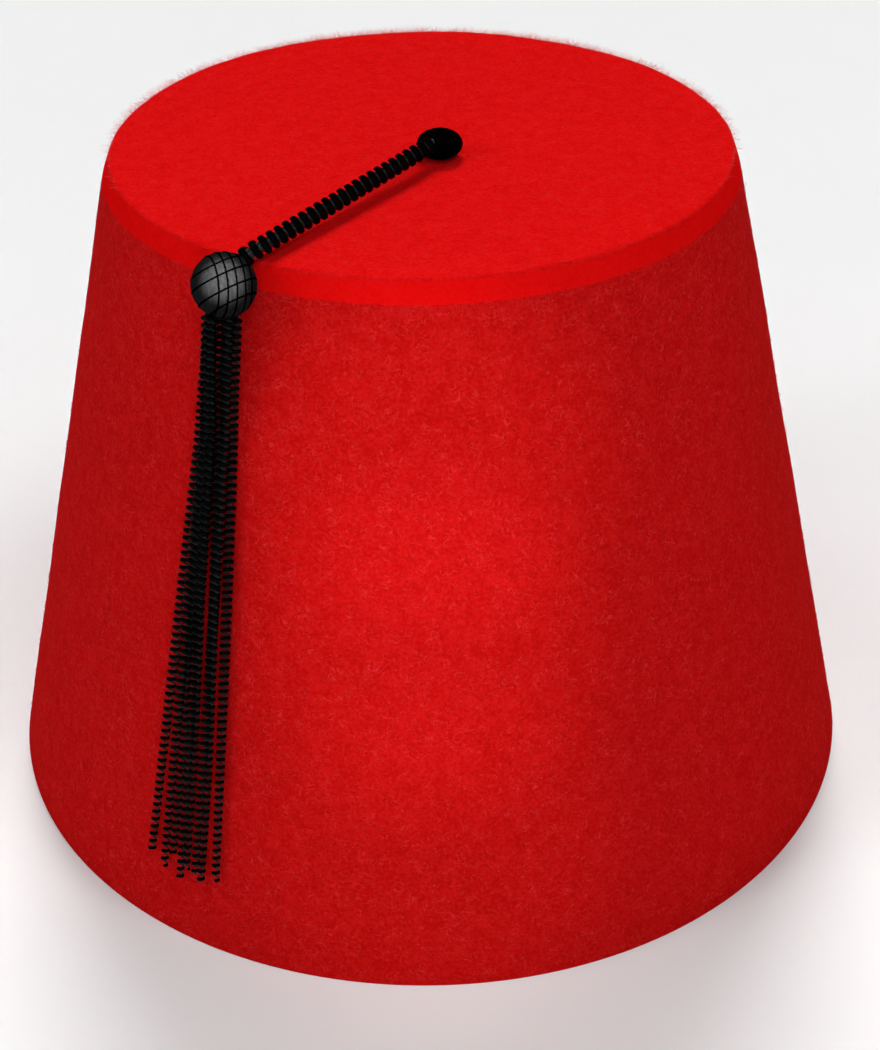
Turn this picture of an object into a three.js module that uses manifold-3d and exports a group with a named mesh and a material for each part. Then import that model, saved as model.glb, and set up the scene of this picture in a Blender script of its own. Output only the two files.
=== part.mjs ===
// A fez: a tall round felt hat, moulded in one piece and open below. A covered button sits on its
// flat top, and a cord runs from the button over the edge to a ball, from which a tassel hangs
// against the side. Millimetres, +Z up, the front towards -Y. The origin is the centre of the rim,
// on the surface that the hat rests on.

import * as THREE from 'three';
import { mergeVertices } from 'three/addons/utils/BufferGeometryUtils.js';
import Module from 'manifold-3d';

const wasm = await Module();
wasm.setup();

// Crown
const RIM_RADIUS = 95;
const CROWN_HEIGHT = 140;
const TOP_RADIUS = 62;
const SHOULDER_REACH = 1.7;
const SHOULDER_DROP = 4.5;
const WALL = 2.5;
const TOP_EDGE_ROUND = 0.7;
const SHOULDER_ROUND = 1.6;
const RIM_ROUND = 0.4;
const INNER_CORNER_ROUND = 2.5;
const CROWN_SIDES = 120;
const CORNER_STEPS = 3;

// Clearance between pieces that touch on the real hat
const GAP = 0.3;

// Button, a little in front of the crown's axis
const BUTTON_RADIUS = 4.5;
const BUTTON_HALF_HEIGHT = 2.8;
const BUTTON_FOOT_RADIUS = 2.2;
const BUTTON_ASIDE = 3.5;
const BUTTON_FORWARD = 9.6;
const BUTTON_CORD_FLAT = 3.7;
const BUTTON_SIDES = 32;
const BUTTON_STEPS = 12;

// Ball, hanging against the shoulder
const BALL_RADIUS = 5.85;
const BALL_AZIMUTH = THREE.MathUtils.degToRad(-30.2);
const BALL_RISE = 1.3;
const BALL_TASSEL_FLAT = 4.6;
const BALL_SOCKET_DEPTH = 1.65;
const BALL_SIDES = 28;
const BALL_RINGS = 18;

// Cord. Each row is a point of its centreline: share of the way from the button's axis to the
// ball's centre in plan, height above the flat top, and offset to the right of that way.
const CORD_RADIUS = 1.9;
const CORD_SIDES = 8;
const CORD_STEPS = 18;
const CORD_ROWS = [
  { out: 0.0635, lift: 3.78, aside: 0.44 },
  { out: 0.13, lift: 3.65, aside: 0.50 },
  { out: 0.20, lift: 3.52, aside: 0.55 },
  { out: 0.27, lift: 3.39, aside: 0.61 },
  { out: 0.34, lift: 3.26, aside: 0.67 },
  { out: 0.41, lift: 3.13, aside: 0.73 },
  { out: 0.48, lift: 3.00, aside: 0.78 },
  { out: 0.55, lift: 2.87, aside: 0.84 },
  { out: 0.62, lift: 2.74, aside: 0.90 },
  { out: 0.69, lift: 2.61, aside: 0.96 },
  { out: 0.75, lift: 2.50, aside: 1.00 },
  { out: 0.80, lift: 2.40, aside: 1.05 },
  { out: 0.845, lift: 2.30, aside: 1.06 },
  { out: 0.88, lift: 2.06, aside: 0.90 },
  { out: 0.915, lift: 1.24, aside: 0.58 },
  { out: 0.938, lift: 0.42, aside: 0.41 },
];

// Tassel: a thin head under the ball and one lock for each row, with its place round the head in
// degrees, its places across the side a fifth of the way down, half way and at the free end, all
// as shares of half the spread, its length as a share of the longest, and its layer on the side.
// A lock reaches its layer at the landing and lies on the felt once it is settled, both as shares
// of its length. The free ends have drifted aside from the ball together.
const HEAD_RADIUS = 3.7;
const HEAD_THICKNESS = 1.0;
const LOCK_RADIUS = 1.05;
const TASSEL_LENGTH = 121;
const TASSEL_SPREAD = 16.4;
const TASSEL_DRIFT = -4.9;
const LAYER_STEP = 1.7;
const LOCK_LANDING = 0.22;
const LOCK_FIFTH = 0.2;
const LOCK_HALF = 0.5;
const LOCK_SETTLED = 0.8;
const LOCK_SIDES = 8;
const LOCK_STEPS = 14;
const HEAD_SIDES = 24;
const LOCKS = [
  { round: 185, fifth: -0.80, half: -1.10, end: -1.00, reach: 0.975, layer: 0 },
  { round: 222, fifth: -0.69, half: -0.88, end: -0.57, reach: 0.990, layer: 0 },
  { round: 140, fifth: -0.51, half: -0.59, end: -0.32, reach: 0.960, layer: 1 },
  { round: 250, fifth: -0.52, half: -0.59, end: -0.05, reach: 1.000, layer: 0 },
  { round: 105, fifth: -0.35, half: -0.40, end: 0.12, reach: 0.975, layer: 1 },
  { round: 285, fifth: -0.30, half: -0.13, end: 0.39, reach: 0.980, layer: 0 },
  { round: 35, fifth: 0.04, half: 0.00, end: 0.58, reach: 0.990, layer: 1 },
  { round: 345, fifth: 0.09, half: 0.22, end: 1.00, reach: 0.975, layer: 0 },
];

const SHOULDER_RADIUS = TOP_RADIUS + SHOULDER_REACH;
const SHOULDER_HEIGHT = CROWN_HEIGHT - SHOULDER_DROP;
const SIDE_LEAN = Math.atan2(RIM_RADIUS - SHOULDER_RADIUS, SHOULDER_HEIGHT);
const FLATS_REACH = 40;

const felt = new THREE.MeshStandardMaterial({ color: 0xc41212, roughness: 0.95, metalness: 0 });
const buttonCloth = new THREE.MeshStandardMaterial({ color: 0x0b0b0b, roughness: 0.8, metalness: 0 });
const cordYarn = new THREE.MeshStandardMaterial({ color: 0x101010, roughness: 0.6, metalness: 0 });
const ballThread = new THREE.MeshStandardMaterial({ color: 0x2a2a2a, roughness: 0.45, metalness: 0 });
const tasselYarn = new THREE.MeshStandardMaterial({ color: 0x121212, roughness: 0.6, metalness: 0 });

// A point by the crown's side: down the slope from the shoulder, across it from the ball's
// azimuth, and out from it square to the felt.
function besideCrown(down, across, out) {
  const radius = SHOULDER_RADIUS + down * Math.sin(SIDE_LEAN) + out * Math.cos(SIDE_LEAN);
  const height = SHOULDER_HEIGHT - down * Math.cos(SIDE_LEAN) + out * Math.sin(SIDE_LEAN);
  const azimuth = BALL_AZIMUTH + across / radius;
  return new THREE.Vector3(radius * Math.sin(azimuth), -radius * Math.cos(azimuth), height);
}

// The direction down the slope at the ball's azimuth
const downSlope = besideCrown(1, 0, 0).sub(besideCrown(0, 0, 0));
const ballCentre = besideCrown(-BALL_RISE, 0, GAP + BALL_RADIUS);
const buttonAxis = new THREE.Vector3(BUTTON_ASIDE, -BUTTON_FORWARD, CROWN_HEIGHT);

// Geometry helpers

// Turns a closed mesh into a solid that can be joined and cut.
function solidOf(geometry) {
  const bare = geometry.index ? geometry.toNonIndexed() : geometry.clone();
  bare.deleteAttribute('normal');
  bare.deleteAttribute('uv');
  const merged = mergeVertices(bare, 1e-4);
  const corners = merged.index.array;
  const kept = [];
  for (let i = 0; i < corners.length; i += 3) {
    const [a, b, c] = [corners[i], corners[i + 1], corners[i + 2]];
    if (a !== b && b !== c && c !== a) {
      kept.push(a, b, c);
    }
  }
  return new wasm.Manifold(new wasm.Mesh({
    numProp: 3,
    vertProperties: new Float32Array(merged.attributes.position.array),
    triVerts: new Uint32Array(kept),
  }));
}

// Turns a solid back into a mesh's geometry.
function geometryOf(solid) {
  const mesh = solid.getMesh();
  const geometry = new THREE.BufferGeometry();
  geometry.setAttribute('position', new THREE.BufferAttribute(mesh.vertProperties, 3));
  geometry.setIndex(new THREE.BufferAttribute(mesh.triVerts, 1));
  geometry.computeVertexNormals();
  return geometry;
}

// A body of revolution about Z from a profile of (radius, height) that starts and ends on the axis.
function turned(profile, sides) {
  return new THREE.LatheGeometry(profile, sides).rotateX(Math.PI / 2);
}

// A round bar from one point in a direction.
function barFrom(start, direction, radius, length, sides) {
  const bar = new THREE.CylinderGeometry(radius, radius, length, sides).translate(0, length / 2, 0);
  const turn = new THREE.Quaternion().setFromUnitVectors(new THREE.Vector3(0, 1, 0), direction);
  return bar.applyQuaternion(turn).translate(start.x, start.y, start.z);
}

// A block whose near face is square to a direction and passes through a point.
function blockBeyond(point, direction) {
  const block = new THREE.BoxGeometry(FLATS_REACH, FLATS_REACH, FLATS_REACH);
  block.translate(0, 0, FLATS_REACH / 2);
  const turn = new THREE.Quaternion().setFromUnitVectors(new THREE.Vector3(0, 0, 1), direction);
  return block.applyQuaternion(turn).translate(point.x, point.y, point.z);
}

// A round tube with closed ends along a smooth curve through the points.
function tubeAlong(points, radius, sides, steps) {
  const section = new THREE.Shape();
  for (let i = 0; i < sides; i += 1) {
    const angle = (2 * Math.PI * i) / sides;
    const place = [radius * Math.cos(angle), radius * Math.sin(angle)];
    if (i === 0) {
      section.moveTo(...place);
    } else {
      section.lineTo(...place);
    }
  }
  section.closePath();
  const path = new THREE.CatmullRomCurve3(points, false, 'centripetal');
  return new THREE.ExtrudeGeometry(section, { steps, extrudePath: path, bevelEnabled: false });
}

// Crown

// Radius of the crown's inner side at a height
function innerRadius(height) {
  return RIM_RADIUS - WALL / Math.cos(SIDE_LEAN) - height * Math.tan(SIDE_LEAN);
}

function makeCrown() {
  const innerTop = CROWN_HEIGHT - WALL;
  const bandLength = Math.hypot(SHOULDER_REACH, SHOULDER_DROP);
  const band = new THREE.Vector2(SHOULDER_REACH / bandLength, -SHOULDER_DROP / bandLength);
  const side = new THREE.Vector2(Math.sin(SIDE_LEAN), -Math.cos(SIDE_LEAN));
  const topEdge = new THREE.Vector2(TOP_RADIUS, CROWN_HEIGHT);
  const shoulder = new THREE.Vector2(SHOULDER_RADIUS, SHOULDER_HEIGHT);
  const innerCorner = new THREE.Vector2(innerRadius(innerTop), innerTop);
  const innerRim = new THREE.Vector2(innerRadius(0), 0);
  const outerRim = new THREE.Vector2(RIM_RADIUS, 0);
  const along = (from, direction, distance) => from.clone().addScaledVector(direction, distance);

  const path = new THREE.Path();
  path.moveTo(0, innerTop);
  path.lineTo(innerCorner.x - INNER_CORNER_ROUND, innerTop);
  const innerStart = along(innerCorner, side, INNER_CORNER_ROUND);
  path.quadraticCurveTo(innerCorner.x, innerCorner.y, innerStart.x, innerStart.y);
  const innerEnd = along(innerRim, side, -RIM_ROUND);
  path.lineTo(innerEnd.x, innerEnd.y);
  path.quadraticCurveTo(innerRim.x, 0, innerRim.x + RIM_ROUND, 0);
  path.lineTo(outerRim.x - RIM_ROUND, 0);
  const outerStart = along(outerRim, side, -RIM_ROUND);
  path.quadraticCurveTo(outerRim.x, 0, outerStart.x, outerStart.y);
  const belowShoulder = along(shoulder, side, SHOULDER_ROUND);
  const aboveShoulder = along(shoulder, band, -SHOULDER_ROUND);
  path.lineTo(belowShoulder.x, belowShoulder.y);
  path.quadraticCurveTo(shoulder.x, shoulder.y, aboveShoulder.x, aboveShoulder.y);
  const belowEdge = along(topEdge, band, TOP_EDGE_ROUND);
  path.lineTo(belowEdge.x, belowEdge.y);
  path.quadraticCurveTo(topEdge.x, topEdge.y, topEdge.x - TOP_EDGE_ROUND, CROWN_HEIGHT);
  path.lineTo(0, CROWN_HEIGHT);
  return turned(path.getPoints(CORNER_STEPS), CROWN_SIDES);
}

// Button

function makeButton() {
  const footAngle = -Math.acos(BUTTON_FOOT_RADIUS / BUTTON_RADIUS);
  const middle = GAP - BUTTON_HALF_HEIGHT * Math.sin(footAngle);
  const profile = new THREE.Path();
  profile.moveTo(0, GAP);
  profile.lineTo(BUTTON_FOOT_RADIUS, GAP);
  profile.absellipse(0, middle, BUTTON_RADIUS, BUTTON_HALF_HEIGHT, footAngle, Math.PI / 2);
  const points = profile.getPoints(BUTTON_STEPS);
  points[points.length - 1].x = 0;
  const bun = turned(points, BUTTON_SIDES).translate(buttonAxis.x, buttonAxis.y, buttonAxis.z);
  const towardsBall = ballCentre.clone().sub(buttonAxis).setZ(0).normalize();
  const flat = buttonAxis.clone().addScaledVector(towardsBall, BUTTON_CORD_FLAT);
  return geometryOf(solidOf(bun).subtract(solidOf(blockBeyond(flat, towardsBall))));
}

// Cord

function cordPoints() {
  const way = ballCentre.clone().sub(buttonAxis).setZ(0);
  const right = new THREE.Vector3(-way.y, way.x, 0).normalize();
  return CORD_ROWS.map((row) => buttonAxis.clone()
    .addScaledVector(way, row.out)
    .addScaledVector(right, row.aside)
    .add(new THREE.Vector3(0, 0, row.lift)));
}

function makeCord() {
  return tubeAlong(cordPoints(), CORD_RADIUS, CORD_SIDES, CORD_STEPS);
}

// Ball

function makeBall() {
  const sphere = new THREE.SphereGeometry(BALL_RADIUS, BALL_SIDES, BALL_RINGS);
  const round = sphere.translate(ballCentre.x, ballCentre.y, ballCentre.z);
  const tasselFlat = ballCentre.clone().addScaledVector(downSlope, BALL_TASSEL_FLAT);
  const cordEnd = cordPoints().at(-1);
  const towardsCord = cordEnd.clone().sub(ballCentre).normalize();
  const socketEnd = ballCentre.clone().addScaledVector(towardsCord, BALL_RADIUS - BALL_SOCKET_DEPTH);
  const socket = barFrom(socketEnd, towardsCord, CORD_RADIUS + GAP, BALL_RADIUS, BALL_SIDES);
  return geometryOf(solidOf(round)
    .subtract(solidOf(blockBeyond(tasselFlat, downSlope)))
    .subtract(solidOf(socket)));
}

// Tassel

// A value between stations down a lock, from rows of (share of the length, value)
function between(stations, share) {
  const next = Math.max(1, stations.findIndex(([place]) => place >= share));
  const [[startShare, start], [endShare, end]] = [stations[next - 1], stations[next]];
  return THREE.MathUtils.mapLinear(share, startShare, endShare, start, end);
}

function lockPoints(lock) {
  const headDown = BALL_TASSEL_FLAT - BALL_RISE + GAP;
  const ring = HEAD_RADIUS - LOCK_RADIUS;
  const angle = THREE.MathUtils.degToRad(lock.round);
  const halfSpread = TASSEL_SPREAD / 2;
  const across = [
    [0, ring * Math.cos(angle)],
    [LOCK_FIFTH, lock.fifth * halfSpread],
    [LOCK_HALF, lock.half * halfSpread],
    [1, lock.end * halfSpread + TASSEL_DRIFT],
  ];
  const lying = GAP + LOCK_RADIUS;
  const raised = lying + lock.layer * LAYER_STEP;
  const out = [
    [0, GAP + BALL_RADIUS + ring * Math.sin(angle)],
    [LOCK_LANDING, raised],
    [LOCK_HALF, raised],
    [LOCK_SETTLED, lying],
    [1, lying],
  ];
  const points = [];
  for (let i = 0; i <= LOCK_STEPS; i += 1) {
    const share = i / LOCK_STEPS;
    const down = headDown + HEAD_THICKNESS / 2 + share * lock.reach * TASSEL_LENGTH;
    points.push(besideCrown(down, between(across, share), between(out, share)));
  }
  return points;
}

function makeTassel() {
  const headDown = BALL_TASSEL_FLAT - BALL_RISE + GAP;
  const headPlace = besideCrown(headDown, 0, GAP + BALL_RADIUS);
  let solid = solidOf(barFrom(headPlace, downSlope, HEAD_RADIUS, HEAD_THICKNESS, HEAD_SIDES));
  for (const lock of LOCKS) {
    solid = solid.add(solidOf(tubeAlong(lockPoints(lock), LOCK_RADIUS, LOCK_SIDES, LOCK_STEPS)));
  }
  return geometryOf(solid);
}

// The whole hat

function named(name, geometry, material) {
  const mesh = new THREE.Mesh(geometry, material);
  mesh.name = name;
  return mesh;
}

const fez = new THREE.Group();
fez.add(
  named('crown', makeCrown(), felt),
  named('button', makeButton(), buttonCloth),
  named('cord', makeCord(), cordYarn),
  named('ball', makeBall(), ballThread),
  named('tassel', makeTassel(), tasselYarn),
);

export default fez;
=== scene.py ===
"""The fez's looks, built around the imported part: felt crown, covered button, wound cord, threaded ball
and a tassel of open coils. Everything is in metres in the part's own frame, with the front towards -Y."""

import math

import bpy
import numpy as np
from mathutils import Matrix, Vector


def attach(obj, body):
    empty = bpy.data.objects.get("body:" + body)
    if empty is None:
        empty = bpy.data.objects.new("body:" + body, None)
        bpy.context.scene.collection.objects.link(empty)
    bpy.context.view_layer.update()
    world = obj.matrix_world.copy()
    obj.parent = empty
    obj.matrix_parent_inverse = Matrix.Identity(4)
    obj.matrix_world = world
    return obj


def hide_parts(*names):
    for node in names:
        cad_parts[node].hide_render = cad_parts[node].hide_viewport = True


MM = 0.001

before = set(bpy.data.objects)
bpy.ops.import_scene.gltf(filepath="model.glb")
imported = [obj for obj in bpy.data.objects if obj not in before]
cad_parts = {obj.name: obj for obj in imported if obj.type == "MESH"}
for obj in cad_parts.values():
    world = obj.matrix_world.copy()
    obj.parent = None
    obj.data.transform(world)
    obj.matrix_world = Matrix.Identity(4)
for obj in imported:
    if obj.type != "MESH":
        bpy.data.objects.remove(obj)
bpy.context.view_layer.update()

# Camera, as fitted to the photograph

CAMERA_DISTANCE = 0.36424
CAMERA_HEIGHT = 0.29068
CAMERA_PITCH = math.radians(33.79011)
CAMERA_YAW = math.radians(0.42623)
CAMERA_ROLL = math.radians(-0.69978)
FOCAL_PIXELS = 1935.39
IMAGE_HEIGHT = 1050
SENSOR = 36.0
CLIP_START = 0.01


def make_camera():
    ahead = Vector((math.sin(CAMERA_YAW) * math.cos(CAMERA_PITCH),
                    math.cos(CAMERA_YAW) * math.cos(CAMERA_PITCH),
                    -math.sin(CAMERA_PITCH)))
    right = Vector((math.cos(CAMERA_YAW), -math.sin(CAMERA_YAW), 0))
    up = right.cross(ahead)
    cos, sin = math.cos(CAMERA_ROLL), math.sin(CAMERA_ROLL)
    right, up = cos * right + sin * up, cos * up - sin * right
    data = bpy.data.cameras.new("camera")
    data.sensor_width = SENSOR
    data.lens = FOCAL_PIXELS / IMAGE_HEIGHT * SENSOR
    data.clip_start = CLIP_START
    camera = bpy.data.objects.new("camera", data)
    turn = Matrix((right, up, -ahead)).transposed().to_4x4()
    camera.matrix_world = Matrix.Translation((0, -CAMERA_DISTANCE, CAMERA_HEIGHT)) @ turn
    bpy.context.scene.collection.objects.link(camera)
    bpy.context.scene.camera = camera


make_camera()

# Sizes of the solids, in millimetres, as in the part

RIM_RADIUS = 95
CROWN_HEIGHT = 140
TOP_RADIUS = 62
SHOULDER_REACH = 1.7
SHOULDER_DROP = 4.5
WALL = 2.5
TOP_EDGE_ROUND = 0.7
SHOULDER_ROUND = 1.6
RIM_ROUND = 0.4
INNER_CORNER_ROUND = 2.5
GAP = 0.3
BUTTON_RADIUS = 4.5
BUTTON_HALF_HEIGHT = 2.8
BUTTON_FOOT_RADIUS = 2.2
BUTTON_ASIDE = 3.5
BUTTON_FORWARD = 9.6
BALL_RADIUS = 5.85
BALL_AZIMUTH = math.radians(-30.2)
BALL_RISE = 1.3
BALL_TASSEL_FLAT = 4.6
CORD_RADIUS = 1.9
CORD_ROWS = [  # share of the way from button to ball, height above the top, offset to the right
    (0.0635, 3.78, 0.44), (0.13, 3.65, 0.50), (0.20, 3.52, 0.55), (0.27, 3.39, 0.61),
    (0.34, 3.26, 0.67), (0.41, 3.13, 0.73), (0.48, 3.00, 0.78), (0.55, 2.87, 0.84),
    (0.62, 2.74, 0.90), (0.69, 2.61, 0.96), (0.75, 2.50, 1.00), (0.80, 2.40, 1.05),
    (0.845, 2.30, 1.06), (0.88, 2.06, 0.90), (0.915, 1.24, 0.58), (0.938, 0.42, 0.41),
]
HEAD_RADIUS = 3.7
HEAD_THICKNESS = 1.0
LOCK_RADIUS = 1.05
TASSEL_LENGTH = 121
TASSEL_SPREAD = 16.4
TASSEL_DRIFT = -4.9
LAYER_STEP = 1.7
LOCK_LANDING = 0.22
LOCK_FIFTH = 0.2
LOCK_HALF = 0.5
LOCK_SETTLED = 0.8
LOCK_STEPS = 14
LOCKS = [  # place round the head, across at a fifth, half way and the end, reach, layer
    (185, -0.80, -1.10, -1.00, 0.975, 0), (222, -0.69, -0.88, -0.57, 0.990, 0),
    (140, -0.51, -0.59, -0.32, 0.960, 1), (250, -0.52, -0.59, -0.05, 1.000, 0),
    (105, -0.35, -0.40, 0.12, 0.975, 1), (285, -0.30, -0.13, 0.39, 0.980, 0),
    (35, 0.04, 0.00, 0.58, 0.990, 1), (345, 0.09, 0.22, 1.00, 0.975, 0),
]

SHOULDER_RADIUS = TOP_RADIUS + SHOULDER_REACH
SHOULDER_HEIGHT = CROWN_HEIGHT - SHOULDER_DROP
SIDE_LEAN = math.atan2(RIM_RADIUS - SHOULDER_RADIUS, SHOULDER_HEIGHT)
SIDE_LENGTH = SHOULDER_HEIGHT / math.cos(SIDE_LEAN)


def beside_crown(down, across, out):
    """Points by the crown's side, in mm: down the slope, across from the ball's azimuth, and out."""
    radius = SHOULDER_RADIUS + down * math.sin(SIDE_LEAN) + out * math.cos(SIDE_LEAN)
    height = SHOULDER_HEIGHT - down * math.cos(SIDE_LEAN) + out * math.sin(SIDE_LEAN)
    azimuth = BALL_AZIMUTH + across / radius
    return np.stack([radius * np.sin(azimuth), -radius * np.cos(azimuth), height + 0 * azimuth], -1)


BALL_CENTRE = beside_crown(-BALL_RISE, 0.0, GAP + BALL_RADIUS)
DOWN_SLOPE = beside_crown(1.0, 0.0, 0.0) - beside_crown(0.0, 0.0, 0.0)
BUTTON_AXIS = np.array([BUTTON_ASIDE, -BUTTON_FORWARD, CROWN_HEIGHT])
CAMERA_PLACE = np.array([0, -CAMERA_DISTANCE, CAMERA_HEIGHT]) / MM

# Mesh helpers

PATH_STEPS = 24  # between two rows of a smooth path
TINY = 1e-6  # least divisor
TIP_STEPS = 3  # in which a yarn's end closes
TIP_START = 0.35  # of a step, where the first of them is
THIN_POWER = 1.5  # how fast a yarn thins towards the middle of its inner half


def unit(vectors):
    return vectors / np.linalg.norm(vectors, axis=-1, keepdims=True)


def mesh_object(name, points, faces, materials, face_materials=None):
    """A smooth mesh object from points in mm."""
    mesh = bpy.data.meshes.new(name)
    mesh.from_pydata((np.asarray(points) * MM).tolist(), [], faces)
    for material in materials:
        mesh.materials.append(material)
    if face_materials is not None:
        mesh.polygons.foreach_set("material_index", np.asarray(face_materials, np.int32))
    mesh.polygons.foreach_set("use_smooth", np.full(len(mesh.polygons), True))
    mesh.update()
    piece = bpy.data.objects.new(name, mesh)
    bpy.context.scene.collection.objects.link(piece)
    return piece


def joined(parts):
    """One list of points and one of faces from several."""
    points, faces, start = [], [], 0
    for part_points, part_faces in parts:
        points.append(part_points)
        faces.extend([tuple(i + start for i in face) for face in part_faces])
        start += len(part_points)
    return np.concatenate(points), faces


def grid_faces(rows, columns):
    """Quads between rows of points that close on themselves."""
    i = np.arange(rows - 1)[:, None] * columns
    j = np.arange(columns)[None, :]
    k = (j + 1) % columns
    quads = np.stack([i + j, i + k, i + columns + k, i + columns + j], -1).reshape(-1, 4)
    return [tuple(q) for q in quads.tolist()]


def closed_faces(rows, columns):
    """The faces between rows, with one more over each end."""
    last = (rows - 1) * columns
    return grid_faces(rows, columns) + [tuple(range(columns - 1, -1, -1)),
                                        tuple(range(last, last + columns))]


def tube(centres, first, second, sides):
    """A closed tube around centres. first and second are the section's half axes at each centre."""
    angles = np.arange(sides) * 2 * math.pi / sides
    rings = (centres[:, None, :] + np.cos(angles)[None, :, None] * first[:, None, :]
             + np.sin(angles)[None, :, None] * second[:, None, :])
    return rings.reshape(-1, 3), closed_faces(len(centres), sides)


def smooth_path(rows, spacing):
    """Centripetal Catmull-Rom through rows, whose first three columns are a point, evenly spaced."""
    rows = np.asarray(rows, float)
    padded = np.concatenate([[2 * rows[0] - rows[1]], rows, [2 * rows[-1] - rows[-2]]])
    steps = np.maximum(np.linalg.norm(np.diff(padded[:, :3], axis=0), axis=1), TINY) ** 0.5
    knots = np.concatenate([[0], np.cumsum(steps)])
    found = []
    for i in range(len(rows) - 1):
        p, t = padded[i:i + 4], knots[i:i + 4]
        u = np.linspace(t[1], t[2], PATH_STEPS, endpoint=False)[:, None]
        a1 = (t[1] - u) / (t[1] - t[0]) * p[0] + (u - t[0]) / (t[1] - t[0]) * p[1]
        a2 = (t[2] - u) / (t[2] - t[1]) * p[1] + (u - t[1]) / (t[2] - t[1]) * p[2]
        a3 = (t[3] - u) / (t[3] - t[2]) * p[2] + (u - t[2]) / (t[3] - t[2]) * p[3]
        b1 = (t[2] - u) / (t[2] - t[0]) * a1 + (u - t[0]) / (t[2] - t[0]) * a2
        b2 = (t[3] - u) / (t[3] - t[1]) * a2 + (u - t[1]) / (t[3] - t[1]) * a3
        found.append((t[2] - u) / (t[2] - t[1]) * b1 + (u - t[1]) / (t[2] - t[1]) * b2)
    dense = np.concatenate(found + [rows[-1:]])
    lengths = np.concatenate([[0], np.cumsum(np.linalg.norm(np.diff(dense[:, :3], axis=0), axis=1))])
    count = max(2, int(round(lengths[-1] / spacing)) + 1)
    even = np.linspace(0, lengths[-1], count)
    return np.stack([np.interp(even, lengths, column) for column in dense.T], -1), even


def coil(centres, out, turns, coil_radius, yarn_along, yarn_out, sides, flat, tilt, thin):
    """Yarn wound round a line. out is the direction at turn 0, square to the line after projection;
    yarn_along and yarn_out are the yarn's half widths along the line and away from it. flat keeps
    the outer half of each turn level and gives its advance to the inner half, tilt leans the turns
    along the line, and thin is how much thinner the yarn is pulled on the inner half."""
    along = unit(np.gradient(centres, axis=0))
    out = unit(out - along * np.sum(out * along, -1, keepdims=True))
    aside = np.cross(along, out)
    angle = (2 * math.pi * turns)[:, None]
    away = np.cos(angle) * out + np.sin(angle) * aside
    spacing = np.linalg.norm(np.gradient(centres, axis=0), axis=-1)
    advance = (spacing / np.gradient(turns))[:, None]
    coil_radius = np.broadcast_to(coil_radius, len(centres))[:, None]
    level = np.sin(angle) - np.sin(3 * angle) / 9
    shift = tilt * coil_radius * np.cos(angle) - flat * advance / (2 * math.pi) * level
    line = centres + coil_radius * away + shift * along
    outer = 1 - thin * (0.5 - 0.5 * np.cos(angle[:, 0])) ** THIN_POWER
    yarn_along, yarn_out = yarn_along * outer, yarn_out * outer
    heading = unit(np.gradient(line, axis=0))
    away = unit(away - heading * np.sum(away * heading, -1, keepdims=True))
    beside = np.cross(heading, away)
    taper = np.ones(len(centres))
    ends = np.sqrt(1 - (1 - (np.arange(TIP_STEPS) + TIP_START) / TIP_STEPS) ** 2)
    taper[:TIP_STEPS] = ends
    taper[-TIP_STEPS:] = ends[::-1]
    return tube(line, away * (np.reshape(yarn_out, (-1, 1)) * taper[:, None]),
                beside * (np.reshape(yarn_along, (-1, 1)) * taper[:, None]), sides)


def inner_half(turns, sides, limit):
    """For each face of a coil, 1 where it is on the inner side of its turn and 0 elsewhere: the faces
    that take the yarn painted lighter for sheen. limit is the cosine of the angle at which the inner side
    begins."""
    middle = 2 * math.pi * (turns[1:] + turns[:-1]) / 2
    inner = (np.cos(middle) < limit).astype(int)
    return np.repeat(inner, sides).tolist() + [0, 0]


def dress(piece, slot, *nodes):
    """Puts a piece on the hat, in place of the nodes that it stands for. slot is not used."""
    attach(piece, "root")
    if nodes:
        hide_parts(*nodes)
    return piece


# Materials


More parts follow.
